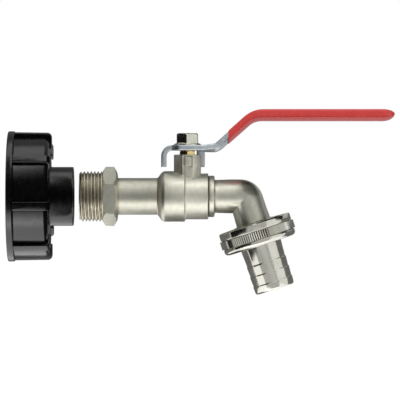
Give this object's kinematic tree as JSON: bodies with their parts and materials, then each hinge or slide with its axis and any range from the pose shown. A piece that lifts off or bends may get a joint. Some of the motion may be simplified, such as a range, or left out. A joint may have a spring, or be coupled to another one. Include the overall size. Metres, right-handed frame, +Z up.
{
  "type": "ibc tank tap",
  "caption": "Ball-valve tap with a bent lever, an angled spout with a hose tail on a union nut, and a screw-on tank cap adaptor.",
  "frame": {"origin": "centre of the tank cap's mouth, on the axis of its thread", "axes": "+X along the waterway from the tank to the spout, +Z up towards the lever, the spout's leg in the XZ plane"},
  "size_m": [0.2027, 0.0684, 0.0973],
  "materials": {
    "black_plastic": "satin",
    "rubber": "matte",
    "nickel_cast": "nickel-plated, satin, as cast",
    "nickel_turned": "nickel-plated, polished",
    "bare_brass": "turned",
    "zinc_steel": "zinc-plated",
    "red_vinyl": "glossy, dipped",
    "ptfe": "waxy",
    "chrome_ball": "polished"
  },
  "bodies": {
    "tap": {"valve_body": "nickel_cast", "spout_elbow": "nickel_cast", "spout_gasket": "rubber", "inlet_seat": "ptfe", "outlet_seat": "ptfe", "stem_thrust_washer": "ptfe", "lower_packing_ring": "ptfe", "upper_packing_ring": "ptfe", "gland_nut": "bare_brass"},
    "lever": {"lever": "zinc_steel", "lever_sleeve": "red_vinyl", "lever_screw": "nickel_turned", "stem": "bare_brass", "ball": "chrome_ball"},
    "adaptor_seals": {"cap_gasket": "rubber", "inlet_washer": "rubber"},
    "cap": {"tank_cap": "black_plastic"},
    "tail": {"hose_tail": "nickel_turned", "union_washer": "rubber"},
    "union_nut": {"union_nut": "nickel_turned"}
  },
  "joints": [
    {"name": "lever_turn", "type": "hinge", "parent": "tap", "child": "lever", "pos_m": [0.094, 0, 0], "axis": [0, 0, 1], "range_deg": [-90, 0]},
    {"name": "adaptor_travel", "type": "slide", "parent": "tap", "child": "adaptor_seals", "axis": [1, 0, 0], "range_m": [0, 0.01451]},
    {"name": "adaptor_turn", "type": "hinge", "parent": "adaptor_seals", "child": "cap", "pos_m": [0, 0, 0], "axis": [1, 0, 0], "range_deg": [0, 2880]},
    {"name": "tail_drop", "type": "slide", "parent": "tap", "child": "tail", "axis": [0.309, 0, -0.9511], "range_m": [0, 0.00544]},
    {"name": "union_nut_turn", "type": "hinge", "parent": "tail", "child": "union_nut", "pos_m": [0.12425, 0, 0], "axis": [0.309, 0, -0.9511], "range_deg": [0, 1080]}
  ],
  "couplings": [
    {"joint": "adaptor_travel", "follows": "adaptor_turn", "m_per_rad": 0.00028871},
    {"joint": "tail_drop", "follows": "union_nut_turn", "m_per_rad": 0.00028871}
  ]
}
